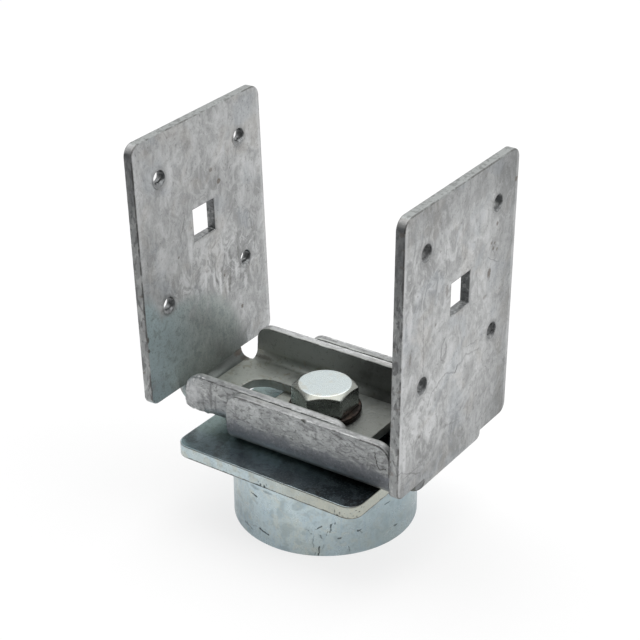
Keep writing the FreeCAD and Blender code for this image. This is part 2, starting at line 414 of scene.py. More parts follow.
# Hot-dip galvanised steel sheet: bare zinc under a thin matt patina, clouded and streaked where it ran,
# smooth in the trough, wrinkled on the flanges, dull on the thick sheared edges
sheetZinc = {
    "body": "#a6a7a7",
    "light": "#bcbdbd",
    "pale": "#d2d3d4",
    "dark": "#838484",
    "warm": "#a39c93",
    "cool": "#98a0a8",
    "shade": "#cbcccc",
    "brown": "#54483c",
    "line": "#494744",
    "holeRadius": 3.5,
    "holeAcross": 26.0,           # half the spacing of the screw holes across and up
    "holeUp": 27.25,
    "holeMiddle": 115.5,
    "squareHalf": 6.8,
    "calmMetal": 0.55,
    "bumpStrength": 0.7,
    "bumpDepth": 0.35,
    "noises": [
        ("cloud", "spread", 30, 3.0, 0.8, 0.5), ("drift", "leaning", 13, 6.0, 1.4, 0.6),
        ("streak", "steep", 3.4, 4.0, 1.0, 0.55), ("swirl", "leaning", 6.0, 5.0, 2.0, 0.65),
        ("grain", "spread", 0.8, 3.0, 0.0, 0.7), ("speck", "spread", 1.5, 2.0, 0.0, 0.5),
        ("warmth", "spread", 15, 4.0, 0.5, 0.5), ("coolness", "spread", 19, 4.0, 0.5, 0.5),
        ("calmHair", "steep", 1.6, 4.0, 0.0, 0.5), ("calmPool", "spread", 12, 3.0, 0.0, 0.5),
        ("calmBlotch", "spread", 4.0, 5.0, 0.6, 0.5), ("webCloud", "spread", 7, 4.0, 1.2, 0.5),
        ("webSpot", "spread", 3.0, 4.0, 0.8, 0.5), ("wrinkle", "along", 3.0, 8.0, 0.9, 0.70),
        ("patches", "along", 8.0, 5.0, 1.0, 0.5), ("crease", "along", 1.3, 4.0, 0.6, 0.5),
        ("shearPale", "steep", 2.4, 5.0, 0.8, 0.5), ("shearDark", "steep", 1.8, 4.0, 0.6, 0.5),
        ("shearBrown", "spread", 2.6, 4.0, 0.0, 0.5), ("topMottle", "spread", 2.2, 5.0, 0.6, 0.5),
        ("breaks", "spread", 5.0, 5.0, 0.0, 0.5), ("wallPale", "spread", 2.4, 4.0, 0.5, 0.5),
        ("wallDark", "spread", 1.4, 3.0, 0.0, 0.5),
    ],
    "cells": [("crystal", "leaning", 4.0)],
    "sums": [
        ("absX", "ABSOLUTE", "x"), ("absY", "ABSOLUTE", "y"),
        ("pastInner", "SUBTRACT", "absY", "innerHalf"), ("aboveWeb", "SUBTRACT", "z", "webTop"),
        ("throughSheet", "MULTIPLY_ADD", "z", "lean", "x"),
        ("stain", "SUBTRACT", "x", "stainStart"), ("stain", "DIVIDE", "stain", "stainLength"),
        # Soft edges, moved to and fro by a noise
        ("topEdge", "MULTIPLY_ADD", "drift", 30, "z"), ("rearEdge", "MULTIPLY_ADD", "drift", 20, "y"),
        ("footEdge", "MULTIPLY_ADD", "swirl", 14, "z"), ("frontEdge", "MULTIPLY_ADD", "swirl", 2.4, "absY"),
        ("webEdge", "MULTIPLY_ADD", "streak", 5, "x"), ("webLip", "MULTIPLY_ADD", "grain", 1.6, "x"),
        ("bendEdge", "MULTIPLY_ADD", "wrinkle", 9, "aboveWeb"),
        # How far a point is from the round holes and the square one
        ("up", "SUBTRACT", "z", "holeMiddle"), ("up", "ABSOLUTE", "up"), ("square", "MAXIMUM", "absY", "up"),
        ("across", "SUBTRACT", "absY", "holeAcross"), ("up", "SUBTRACT", "up", "holeUp"),
        ("across", "MULTIPLY", "across", "across"), ("round", "MULTIPLY_ADD", "up", "up", "across"),
        ("round", "SQRT", "round"), ("roundEdge", "MULTIPLY_ADD", "swirl", 4.0, "round"),
        ("squareEdge", "MULTIPLY_ADD", "swirl", 4.0, "square"), ("round", "SUBTRACT", "round", "holeRadius"),
        ("square", "SUBTRACT", "square", "squareHalf"), ("opening", "MINIMUM", "round", "square"),
        # Patina and relief
        ("weather", "ADD", "drift", "swirl"), ("weather", "MULTIPLY", "weather", 0.5),
        ("dullness", "MULTIPLY", "weather", 0.7), ("dullness", "MULTIPLY_ADD", "grain", 0.3, "dullness"),
        ("relief", "MULTIPLY", "drift", 0.45), ("relief", "MULTIPLY_ADD", "swirl", 0.3, "relief"),
        ("relief", "MULTIPLY_ADD", "grain", 0.12, "relief"), ("ridges", "MULTIPLY_ADD", "wrinkle", 1.2, "relief"),
        ("faintSpeck", "MULTIPLY", "speck", 0.4), ("rimShare", "MULTIPLY", "rim", 0.6),
    ],
    "regions": [
        ("seenSide", 1.0, "throughSheet", "seenFrom", "seenTo"),
        ("calm", "calmOvals", "x", -53.2, -54.6), ("calm", "calm", "drift", 0.2, 0.45),
        ("calm", "calm", "throughSheet", "seenFrom", "seenTo"),
        ("low", 1.0, "z", 61, 59.9),
        ("trough", "low", "pastInner", 1.6, 0.6), ("trough", "trough", "absX", 56.6, 55.7),
        ("flange", "low", "pastInner", 2.5, 3.4), ("flange", "flange", "absX", 54.0, 52.8),
        # The flanges' bend, painted darker as shade where it turns under
        ("bend", "smoothBend", "bendEdge", 14.0, 8.5), ("bend", "bend", "pastInner", 2.5, 3.4),
        ("bend", "bend", "absX", 54.0, 52.8),
        ("side", 1.0, "absY", 40.55, 40.95), ("top", 1.0, "z", 160.35, 160.6), ("wall", 1.0, "opening", 0.25, 0.0),
    ],
    "spans": [("metal", "weather", 0.35, 0.65, 0.95, 0.60), ("gloss", "dullness", 0.35, 0.65, 0.34, 0.58)],
    "blends": [("metal", "calm", "metal", "calmMetal"), ("gloss", "wall", "gloss", "wallRoughness"),
               ("relief", "flange", "relief", "ridges"), ("speck", "calm", "speck", "faintSpeck")],
    "surfaces": [
        (None, None, [
            ("cloud", 0.48, 0.58, "light", 0.50), ("cloud", 0.47, 0.38, "dark", 0.30),
            ("drift", 0.50, 0.54, "pale", 0.27), ("drift", 0.47, 0.42, "dark", 0.31),
            ("swirl", 0.53, 0.565, "pale", 0.27), ("swirl", 0.46, 0.41, "dark", 0.28),
            ("streak", 0.54, 0.64, "pale", 0.20), ("streak", 0.45, 0.35, "dark", 0.24),
            ("crystal", 0.42, 0.80, "dark", 0.14),
            ("warmth", 0.54, 0.64, "warm", 0.20), ("coolness", 0.46, 0.35, "cool", 0.25),
            # Where the zinc was still running it set in bright, crisp drips
            ("swirl", 0.51, 0.56, "pale", "lively"), ("swirl", 0.47, 0.42, "dark", "lively"),
            # Darker below the top edge, towards the rear and the foot; a paler strip beside the front edge
            ("topEdge", 156, 170, "shade", "topBand", "MULTIPLY"),
            ("rearEdge", 26, 50, "shade", "rearBand", "MULTIPLY"),
            ("footEdge", 78, 58, "shade", "footBand", "MULTIPLY"),
            ("frontEdge", 39.8, 40.9, "pale", 0.30),
        ]),
        # Low on the inner face, a smooth, darker greenish area, less metallic and bluer towards the front
        ("calm", "#9ba3a1", [
            ("calmHair", 0.42, 0.60, "#b0b6b3", 0.60), ("calmPool", 0.48, 0.62, "#939b98", 0.55),
            ("y", -4, -36, "#adbfc3", 0.80), ("calmBlotch", 0.47, 0.36, "#87908f", 0.55),
            ("grain", 0.50, 0.32, "#7d8583", 0.45),
        ]),
        # The trough's smooth web: lighter towards its left end and where it rises, darker and stained towards +X;
        # painted shade in the fold's bend at its left end
        ("trough", "#9da19c", [
            ("cloud", 0.42, 0.60, "#abafa9", 0.6), ("webCloud", 0.50, 0.64, "#888c86", 0.5),
            ("stain", 0, 1, "#8d8c7d", 0.6), ("x", -26, -44, "#bfc3bb", 0.60),
            ("webSpot", 0.56, 0.66, "#8b8468", 0.40), ("grain", 0.52, 0.70, "#80827c", 0.35),
            ("aboveWeb", 3, 6, "#b9bcba", 0.75), ("x", -22, 22, "#6d706e", 0.75),
            # By the fold: a brownish band, a thin painted highlight along its foot, and painted shade in the bend
            # beyond
            ("webEdge", -48.5, -50.5, "#7f7e73", 0.40), ("webLip", -51.3, -51.8, "#c4c5ba", 0.60),
            ("x", -52.2, -52.7, "#646966", 1.0),
        ]),
        # Flanges, wrinkled above their bend, which is painted darker as shade where it turns under
        ("flange", "#b0b2b2", [
            ("patches", 0.50, 0.60, "#c8caca", 0.45), ("patches", 0.48, 0.38, "#969797", 0.45),
            ("wrinkle", 0.51, 0.60, "#dadcdb", 0.55), ("wrinkle", 0.48, 0.40, "#7c7b7d", 0.58),
            ("crease", 0.47, 0.34, "#6b6a6a", 0.60),
        ]),
        ("bend", "#7f8287", [
            ("patches", 0.45, 0.60, "#8c8e94", 0.5), ("wrinkle", 0.48, 0.62, "#75767c", 0.5),
            ("grain", 0.50, 0.68, "#a0a2a6", 0.35),
        ]),
        # Sheared sides of the uprights: dark near the top, mottled lower down
        ("side", "#a2a4a4", [
            ("shearPale", 0.50, 0.60, "#c6c8c7", 0.70), ("shearDark", 0.48, 0.38, "#6e6f70", 0.75),
            ("z", 118, 146, "#7d7f81", 0.60), ("shearBrown", 0.60, 0.70, "#77695e", 0.40),
        ]),
        ("top", "#929594", [("topMottle", 0.48, 0.38, "#6c6e6d", 0.7)]),
        # Arrises hold a thin dark broken line; round the holes the face is darker, and their walls are painted
        # darker as shade in the holes, and spotted
        (None, None, [
            ("breaks", 0.40, 0.56, "line", "rimShare"),
            ("roundEdge", 8.0, 5.4, "dark", 0.6), ("squareEdge", 10.4, 8.6, "dark", 0.4),
        ]),
        ("wall", "#7b7d7e", [("wallPale", 0.50, 0.64, "#b4b6b5", 0.6), ("wallDark", 0.46, 0.34, "#4a4b4c", 0.6)]),
        # Drawn lines; dark scuffs, with painted shade beside the right flange's end; bright marks, with painted
        # highlights on the right flange; brown specks
        ("faceLines", "lineTint", []),
        ("flangeLines", "line", []),
        ("scuffs", "dark", []),
        ("bright", "pale", []),
        ("specks", "brown", []),
        (None, None, [("speck", 0.62, 0.70, "line", 0.28), ("grain", 0.46, 0.28, "line", 0.24),
                      ("grain", 0.56, 0.74, "#dfe2e1", 0.18)]),
    ],
}

# The zinc ran down each upright as it drained, so its pattern is drawn out and slanted, each its own way.
# Marks, strokes and ovals are where the photograph has them.
leftMarks = {
    "innerHalf": 22.7,            # from the middle of the trough to the inside of a flange
    "webTop": 45.0,
    "stainStart": 6,
    "stainLength": 20,
    # Strength of the painted shade on the flanges' bend
    "smoothBend": 0.25,
    "lean": 0.03492,              # mm that the upright leans out for each mm up
    "seenFrom": -57.5,            # where the sheet's seen half starts, at its foot
    "seenTo": -55.6,
    "wallRoughness": 0.34,
    "topBand": 0.20,
    "rearBand": 0.10,
    "footBand": 0.07,
    "lineTint": "#494744",
    "spaces": [
        ("spread", "place", (0.013, 0.002, 0.031), (0, 0, 0), (1, 1, 1)),
        ("leaning", "spread", (0, 0, 0), (10, 0, 0), (1, 1, 0.75)),
        ("steep", "spread", (0, 0, 0), (4, 0, 0), (1, 1, 0.4)),
        ("along", "spread", (0, 0, 0), (0, 8, 0), (0.55, 1, 1)),
    ],
    "ovals": [
        ("lively", [(6, 90, 34, 15, 0.4, 1.2, 0.36)]),
        ("calmOvals", [(-20, 55, 40, 32, 0.75, 1.15, 1.0), (-41, 66, 13, 31, 0.6, 1.2, 1.0)]),
    ],
    "strokes": [
        ("faceLines", "seenSide", (0, 1, 1), [
            (((0, 0.5, 97), (0, 5.9, 85)), 0.5, 0.38), (((0, 12, 95), (0, 8, 83)), 0.5, 0.38),
            (((0, 16, 92), (0, 14, 78)), 0.6, 0.34), (((0, 21, 95), (0, 22, 81)), 0.5, 0.3),
            (((0, 3, 98), (0, 3, 91)), 0.7, 0.28), (((0, -12, 122), (0, -16, 112)), 0.3, 0.3),
            (((0, 30, 108), (0, 33, 92)), 0.35, 0.3),
        ]),
        ("flangeLines", "flange", (1, 0, 1), []),
    ],
    "marks": [
        ("scuffs", 1.0, [
            ((-37.6, -27, 52), (0.9, 2, 8), 0.8), ((-35.4, -27, 49), (0.7, 2, 5), 0.6),
            # (-29.0, -27, 51): a dark strip beside the right flange's end, painted shade where the flanges overlap
            ((-32.4, -26, 45), (2.4, 3, 1.6), 0.95), ((-29.0, -27, 51), (0.8, 2, 6), 0.6),
            ((-41.5, -27, 50), (0.5, 2, 6), 0.45), ((-44.2, -27, 49), (0.5, 2, 5), 0.45),
            ((-58, -27, 138), (4, 3.4, 3.2), 0.55), ((-58, 25, 139), (4, 3.2, 3.4), 0.5),
            ((-58, 9, 132), (4, 6.0, 6.5), 0.35), ((-58, -7, 93), (4, 2.2, 7.0), 0.45),
            ((-58, -8, 150), (4, 5.0, 3.5), 0.4), ((-57, 10, 86), (4, 0.9, 6.0), 0.5),
            ((-57, -1, 84), (4, 0.8, 6.0), 0.4), ((-57, 22, 78), (4, 2.6, 4.5), 0.4),
        ]),
        ("bright", 1.0, [
            ((-46.5, -27, 54), (5.5, 3, 8.5), 0.75), ((-49.5, -25, 53), (1.6, 3, 6), 0.6),
            ((-57, 8, 84), (4, 1.1, 6.5), 0.9), ((-57, 4, 87), (4, 1.0, 5.5), 0.8),
            ((-57, -1.5, 89), (4, 1.1, 5.0), 0.7), ((-57, 12.5, 80), (4, 0.9, 6.0), 0.6),
            ((-57, 19, 86), (4, 1.2, 5.0), 0.6), ((-57, 25, 78), (4, 1.5, 5.0), 0.5),
            ((-57, -10, 106), (4, 2.0, 8.0), 0.45), ((-57, -29, 108), (4, 3.5, 9.0), 0.4),
        ]),
        ("specks", 1.0, [
            ((-58.5, 6.2, 135.1), (4, 1.3, 1.3), 0.55), ((-58.5, 11.0, 128.5), (4, 1.5, 1.5), 0.75),
            ((-57.5, 21.8, 67.4), (4, 1.0, 1.2), 0.75), ((-57.5, 10.9, 86.2), (4, 0.7, 1.0), 0.6),
            ((-58, -17.8, 105.8), (4, 0.7, 0.7), 0.6), ((-57.5, -40.5, 79), (4, 0.8, 1.6), 0.8),
            ((-57.5, -40.5, 74), (4, 0.8, 1.2), 0.8), ((-56, 16.5, 47.5), (2.0, 3.2, 1.8), 0.8),
            ((-53, 17.5, 45), (2.6, 2.6, 1.6), 0.6), ((-46, 21.5, 45.8), (6.0, 1.2, 1.4), 0.45),
        ]),
    ],
}

rightMarks = {
    "innerHalf": 27.0,
    "webTop": 41.0,
    "stainStart": 20,
    "stainLength": 28,
    # Strength of the painted shade on the flanges' bend
    "smoothBend": 1.0,
    "lean": -0.01396,
    "seenFrom": 57.0,
    "seenTo": 58.6,
    "wallRoughness": 0.62,
    "topBand": 0.65,
    "rearBand": 0.85,
    "footBand": 0.595,
    "lineTint": "#686868",
    "spaces": [
        ("spread", "place", (0.041, 0.017, 0.007), (0, 0, 0), (1, 1, 1)),
        ("leaning", "spread", (0, 0, 0), (-22, 0, 0), (1, 1, 0.75)),
        ("steep", "spread", (0, 0, 0), (-8.8, 0, 0), (1, 1, 0.4)),
        ("along", "spread", (0, 0, 0), (0, 8, 0), (0.55, 1, 1)),
    ],
    "ovals": [
        ("lively", [(-16, 136, 30, 22, 0.4, 1.2, 0.18), (-24, 76, 16, 18, 0.4, 1.2, 0.18)]),
        ("calmOvals", []),
    ],
    "strokes": [
        ("faceLines", "seenSide", (0, 1, 1), [
            (((0, -26.5, 118), (0, -25.6, 94)), 0.28, 0.45),
            (((0, -21, 77), (0, -18.8, 81.4), (0, -9.1, 85.5), (0, -1.4, 82.3)), 0.34, 0.4),
            (((0, -1.4, 82.3), (0, 0.2, 84.4)), 0.5, 0.75),
            (((0, 0.2, 84), (0, 6.3, 86.4), (0, 16.5, 84.3)), 0.34, 0.35),
            (((0, -12.6, 93), (0, -12.4, 99), (0, -10.2, 101), (0, -9.0, 97), (0, -10.4, 91.5), (0, -12.6, 93)),
             0.26, 0.4),
            (((0, -40.5, 57.6), (0, -33, 53.6), (0, -25.4, 49.9)), 0.26, 0.6),
            (((0, -7, 61.5), (0, 3, 59)), 0.26, 0.3), (((0, -3, 64), (0, -2, 57)), 0.26, 0.25),
            (((0, -12, 141.7), (0, -11, 128)), 0.28, 0.32), (((0, 12, 119), (0, 14, 106)), 0.28, 0.3),
            (((0, 20, 122), (0, 29, 117)), 0.25, 0.42), (((0, 23, 128), (0, 25, 121)), 0.25, 0.42),
            (((0, 6, 90), (0, 15, 89)), 0.22, 0.4), (((0, 20, 146), (0, 31, 137)), 0.25, 0.25),
            (((0, -36, 120), (0, -24, 131)), 0.28, 0.25), (((0, 14, 60), (0, 29, 64)), 0.28, 0.25),
        ]),
        ("flangeLines", "flange", (1, 0, 1), [
            (((43.2, 0, 56.2), (43.8, 0, 54.3), (44.6, 0, 50.6), (45.4, 0, 49.3), (48.6, 0, 50.2)), 0.22, 0.85),
            (((10.2, 0, 59.2), (11.4, 0, 58.8)), 0.5, 0.8), (((24, 0, 58), (29, 0, 57.4)), 0.22, 0.45),
        ]),
    ],
    "marks": [
        ("scuffs", 1.0, [
            ((60, -19, 156), (4, 12, 2.0), 0.45), ((60, -35, 152), (4, 3, 5.0), 0.35),
            ((60, -14, 150), (4, 5, 4.0), 0.4), ((60, 12, 152), (4, 9, 4.0), 0.35),
            ((60, 10, 78), (4, 7, 6.0), 0.35), ((60, -14, 78), (4, 5, 4.0), 0.35),
            ((60, -25.7, 142), (4, 6.0, 7.0), 0.5), ((60, 3.1, 144), (4, 2.6, 8.0), 0.4),
            ((60, -35.1, 103.7), (4, 3.6, 8.0), 0.45), ((60, 24.4, 125.7), (4, 3.0, 3.4), 0.5),
            ((60, -10.8, 101), (4, 1.6, 0.7), 0.5), ((60, -10.8, 91), (4, 1.6, 0.7), 0.5),
            ((60, -12.6, 96), (4, 0.7, 4.6), 0.5), ((60, -9.0, 96), (4, 0.7, 4.6), 0.5),
            ((60, -32, 53.4), (4, 8.0, 0.55), 0.65), ((60, -27.7, 45.5), (4, 3.0, 1.6), 0.6),
        ]),
        ("bright", 1.0, [
            ((60, -36, 118), (4, 2.5, 10.0), 0.5), ((60, -30, 73), (4, 3.0, 9.0), 0.45),
            ((60, -37, 62), (4, 1.5, 9.0), 0.5), ((60, -20, 66), (4, 3.5, 6.0), 0.4),
            ((60, -6, 93), (4, 3.0, 9.0), 0.4), ((60, 6, 130), (4, 3.0, 8.0), 0.35),
            # From (-23.0, -31, 55.5) on: painted highlights on the front flange near its end
            ((60, -31, 127), (4, 4.0, 3.5), 0.4), ((-23.0, -31, 55.5), (0.9, 3, 3.4), 0.7),
            ((-17.5, -31, 57.6), (3.4, 3, 1.2), 0.6), ((-12.5, -31, 55.4), (3.0, 3, 1.0), 0.4),
        ]),
        ("specks", 1.0, [
            ((60, 21.8, 115), (4, 1.8, 3.2), 0.75), ((60, 39.5, 147.7), (4, 1.5, 1.5), 0.8),
            ((60, 26.3, 134.1), (4, 1.1, 1.1), 0.7), ((60, -10.0, 120.7), (4, 1.6, 3.2), 0.4),
            ((60, 24.0, 124.5), (4, 1.0, 1.0), 0.7), ((60, 22.4, 127.4), (4, 0.9, 0.9), 0.6),
            ((60, 27.0, 123.0), (4, 0.9, 0.9), 0.6), ((60, -17.5, 110.0), (4, 0.9, 0.9), 0.5),
            ((60, 19, 105.8), (4, 2.0, 1.2), 0.35), ((60, -35.1, 103.2), (4, 1.2, 3.4), 0.4),
            ((60, -26.4, 66.4), (4, 1.0, 1.0), 0.5), ((60, 25.0, 126.5), (4, 0.8, 0.8), 0.6),
        ]),
    ],
}

# Bright zinc plating on smooth steel: bluish, even and glossy, with stains and short dark scratches
platedZinc = {
    "body": "#bfced3",
    "blue": "#abc0cc",
    "yellow": "#c3c8bd",
    "cream": "#cbccc0",
    "grey": "#93a1a5",
    "grimeAndShade": "#575550",
    "scratch": "#2c3438",
    "metal": 1.0,
    "relief": "grain",
    "bumpStrength": 0.5,
    "bumpDepth": 0.15,
    "spaces": [("drawn", "place", (0, 0, 0), (0, 0, 0), (1, 1, 0.2))],
    "noises": [
        ("cloud", "place", 14, 3.0, 0.0, 0.5), ("stain", "place", 5, 5.0, 0.8, 0.5),
        ("grain", "place", 0.8, 3.0, 0.0, 0.5), ("creamy", "place", 3.2, 6.0, 0.8, 0.5),
        ("run", "drawn", 1.8, 4.0, 0.0, 0.5),
    ],
    "spans": [("gloss", "stain", 0.3, 0.7, 0.24, 0.40)],
    "surfaces": [(None, None, [
        ("cloud", 0.46, 0.70, "yellow", 0.35), ("cloud", 0.50, 0.30, "blue", 0.45),
        ("stain", 0.48, 0.64, "grey", 0.42), ("creamy", 0.52, 0.64, "cream", 0.35),
        ("run", 0.54, 0.70, "blue", 0.45), ("grain", 0.50, 0.30, "grey", 0.32),
    ])],
}

# The square plate: a glossier blue-grey face with pale dust, painted shade towards +X under the brackets and a
# painted reflection under the slot; creamy edges, darker at the foot with painted shade and grime
plateMarks = {
    "face": "#c2d4da",
    "faceDark": "#7c878c",
    "faceWarm": "#6d6664",
    "faceFresh": "#dfecf2",
    "faceRoughness": 0.22,
    "edge": "#b9c4c4",
    "edgeCream": "#b5b5a8",
    "noises": [
        ("edgePatch", "place", 4, 5.0, 0.0, 0.5), ("footPatch", "place", 4, 4.0, 0.0, 0.5),
        ("warmth", "place", 11, 5.0, 0.6, 0.5), ("faceRun", "drawn", 2.2, 5.0, 0.0, 0.5),
        ("dust", "place", 0.6, 1.0, 0.0, 0.5),
    ],
    "sums": [("edgeFoot", "MULTIPLY_ADD", "footPatch", 1.6, "z")],
    "regions": [("onFace", 1.0, "z", 36.93, 36.98)],
    "blends": [("gloss", "onFace", "gloss", "faceRoughness")],
    "marks": [
        # A painted reflection lightens the face where it shows through the slot
        ("underSlot", "onFace", [((-33.5, 4.5, 37.0), (10.0, 7.5, 3.0), 0.9)]),
        ("nicks", 1.0, [
            ((35.2, -43.9, 32.0), (0.7, 0.9, 1.2), 0.85), ((36.3, -43.8, 33.4), (0.6, 1.0, 1.0), 0.7),
            ((37.6, -43.6, 32.6), (0.8, 1.0, 0.6), 0.95), ((38.4, -43.6, 33.9), (0.5, 1.0, 0.4), 0.7),
            ((39.6, -43.0, 32.3), (0.5, 1.0, 0.4), 0.8), ((40.4, -42.6, 34.3), (0.5, 1.0, 0.4), 0.7),
            ((41.3, -42.0, 33.0), (0.4, 1.0, 0.5), 0.8), ((41.9, -41.4, 35.3), (0.5, 0.8, 0.3), 0.7),
            ((42.8, -40.4, 34.3), (0.7, 0.6, 0.35), 0.8), ((43.4, -39.2, 35.9), (0.8, 0.6, 0.3), 0.7),
            ((43.6, -37.8, 35.2), (0.8, 0.9, 0.3), 0.7), ((42.0, -41.2, 32.6), (0.5, 0.8, 0.4), 0.8),
            ((34.0, -44.0, 33.5), (0.35, 0.9, 1.4), 0.6), ((38.9, -43.3, 35.3), (0.35, 0.9, 0.3), 0.6),
            ((-1.2, -44.0, 32.6), (0.6, 0.9, 1.0), 0.85), ((0.6, -44.0, 32.2), (0.7, 0.9, 1.5), 0.9),
            ((-3.4, -44.0, 31.8), (3.2, 0.9, 0.7), 0.8), ((-2.3, -44.0, 33.6), (0.4, 0.9, 0.5), 0.6),
            ((1.6, -44.0, 33.6), (0.4, 0.9, 0.6), 0.6),
        ]),
    ],
    "surfaces": [
        (None, None, [
            ("cloud", 0.3, 0.7, "edge", 0.75), ("x", -8, 30, "edgeCream", 0.80),
            ("edgePatch", 0.50, 0.60, "edgeCream", 0.45), ("grain", 0.50, 0.32, "grey", 0.40),
            # The edge's foot is darker with painted shade and grime; a thin dark line runs under the top arris
            ("edgeFoot", 33.1, 32.8, "grimeAndShade", 0.85), ("z", 36.55, 36.7, "grimeAndShade", 0.60),
        ]),
        # The face: painted shade and reflection darken it towards +X, under the brackets
        ("onFace", "face", [
            ("cloud", 0.45, 0.60, "faceDark", 0.15), ("x", -2, 30, "faceDark", 1.0),
            ("x", 8, 34, "#566065", 0.8), ("warmth", 0.50, 0.60, "faceWarm", 0.40),
            ("faceRun", 0.50, 0.36, "faceDark", 0.40), ("stain", 0.50, 0.62, "face", 0.30),
            ("grain", 0.50, 0.66, "face", 0.40), ("dust", 0.66, 0.74, "cream", 0.40),
        ]),
        ("underSlot", "faceFresh", []),
        ("nicks", "scratch", []),
    ],
}


def aroundCollar(angle, height, radius=38.05):
    turn = math.radians(angle)
    return (radius * math.cos(turn), radius * math.sin(turn), height)


# The tube: each scratch is its two ends, as degrees round the tube and height, then width and strength.
# Between them a few patches hold short nicks, thin stretched cells.
collarScratches = [
    ((-106.9, 21.3), (-102.7, 20.8), 0.375, 0.9), ((-115.5, 4.5), (-107.4, 4.0), 0.3375, 0.55),
    ((-106.2, 5.7), (-100.0, 6.6), 0.225, 0.45), ((-100.4, 6.3), (-93.6, 5.6), 0.45, 0.9),
    ((-61.3, 13.4), (-58.0, 14.1), 0.3375, 0.85), ((-68.5, 12.2), (-61.8, 12.9), 0.1875, 0.45),
    ((-66.6, 11.8), (-65.0, 10.6), 0.375, 0.6), ((-63.0, 9.4), (-64.1, 4.3), 0.3, 0.4),
    ((-59.7, 4.5), (-60.3, 0.9), 0.3, 0.85), ((-55.0, 11.9), (-55.7, 10.3), 0.2625, 0.6),
    ((-59.0, 10.0), (-58.7, 8.7), 0.45, 0.55), ((-17.4, 19.4), (-14.3, 19.5), 0.3375, 0.9),
    ((-53.0, 15.1), (-50.7, 15.5), 0.3, 0.8), ((-53.0, 15.1), (-53.3, 11.6), 0.3375, 0.8),
    ((-9.6, 6.9), (-7.0, 6.6), 0.3, 0.75), ((-37.0, 10.9), (-34.2, 11.0), 0.3375, 0.75),
    ((-48.7, 8.7), (-47.0, 8.6), 0.375, 0.7), ((-43.3, 5.1), (-41.5, 3.8), 0.1875, 0.5),
    ((-41.5, 3.8), (-42.0, 1.7), 0.1875, 0.5), ((-85.5, 2.2), (-84.5, 2.0), 0.3, 0.5),
    ((-112.5, 5.0), (-111.0, 4.2), 0.3, 0.6), ((-34.5, 10.2), (-33.5, 9.6), 0.225, 0.5),
    ((-61.8, 3.0), (-63.0, 0.8), 0.225, 0.5), ((-57.0, 6.5), (-57.4, 3.5), 0.1875, 0.4),
]
collarMarks = {
    "spaces": [("slanted", "place", (0, 0, 0), (28.65, 51.57, 11.46), (1, 0.25, 1))],
    "noises": [("patch", "place", 9, 3.0, 0.0, 0.5)],
    "cells": [("nick", "slanted", 3.2)],
    "sums": [
        ("bare", "SUBTRACT", 0.68, "patch"), ("bare", "MULTIPLY", "bare", 2.78), ("bare", "MINIMUM", "bare", 0.5),
        ("bare", "MAXIMUM", "bare", 0.0), ("nick", "ADD", "nick", "bare"),
    ],
    "strokes": [("scratches", 1.0, (1, 1, 1), [
        ((aroundCollar(*start), aroundCollar(*end)), width, strength)
        for start, end, width, strength in collarScratches
    ])],
    "marks": [("smears", 1.0, [((-9.5, -37.0, 24.8), (3.4, 3.0, 1.0), 0.35),
                               ((-2.5, -38.0, 25.3), (3.0, 3.0, 0.8), 0.35)])],
    "surfaces": [
        (None, None, [
            # Painted shade darkens the tube's top under the plate; a painted highlight lightens its left side and
            # painted shade darkens its right
            ("nick", 0.10, 0.05, "scratch", 0.8), ("z", 30.2, 31.2, "grimeAndShade", 0.45),
            ("x", -18, -37, "#d5e2e6", 0.75), ("x", 22, 38, "grey", 0.50),
        ]),
        ("scratches", "scratch", []),
        ("smears", "scratch", []),
    ],
}

# Small steel parts: broad patches of their own size, stains over twice as large, and a fine grain
smallParts = {
    "metal": 1.0,
    "relief": "fine",
    "bumpStrength": 0.6,
    "surfaces": [(None, None, [
        ("broad", 0.50, 0.68, "patch", 0.6), ("other", 0.54, 0.68, "stain", 0.55),
        ("fine", 0.48, 0.30, "patch", "grainShare"),
    ])],
}


def patchNoises(size):
    return [("broad", "place", size, 4.0, 0.7, 0.5), ("other", "place", size * 2.3, 2.0, 0.0, 0.5),
            ("fine", "place", 0.45, 3.0, 0.0, 0.5)]


# Zinc-plated bolt: an even bright head; its chamfer and sides are painted darker, as shade
boltPlating = {
    "body": "#c8d1d1",
    "patch": "#bdc7ca",
    "stain": "#c4c3b8",
    "chamfer": "#86867d",
    "sides": "#b0b6b2",
    "grainShare": 0.12,
    "bumpDepth": 0.006,
    "noises": patchNoises(2.6),
    "spans": [("gloss", "broad", 0.3, 0.7, 0.24, 0.30)],
    # Painted shade darkens the chamfer and the sides below the head's top
    "surfaces": [(None, None, [("z", 57.98, 57.85, "chamfer", 0.8), ("z", 57.0, 56.0, "sides", 0.92)])],
}

# Steel washer with its brown-black mill scale: dark, dull, faintly rusty
washerScale = {
    "body": "#352f2c",
    "patch": "#1f1c1b",
    "stain": "#57483f",
    "grainShare": 0.4,
    "bumpDepth": 0.12,
    "noises": patchNoises(2.0),
    "spans": [("gloss", "broad", 0.3, 0.7, 0.34, 0.55)],
}

# Plated weld bead: zinc over rippled weld metal, greyer in its hollows
weldMetal = {
    "body": "#a7adb0",
    "patch": "#7f8890",
    "stain": "#8d7c66",
    "grainShare": 0.4,
    "bumpDepth": 0.1,
    "noises": patchNoises(1.5),
    "spans": [("gloss", "broad", 0.3, 0.7, 0.30, 0.50)],
}


makeCamera(camera)
makeStudio(studio)
print("stage 2: camera and studio")

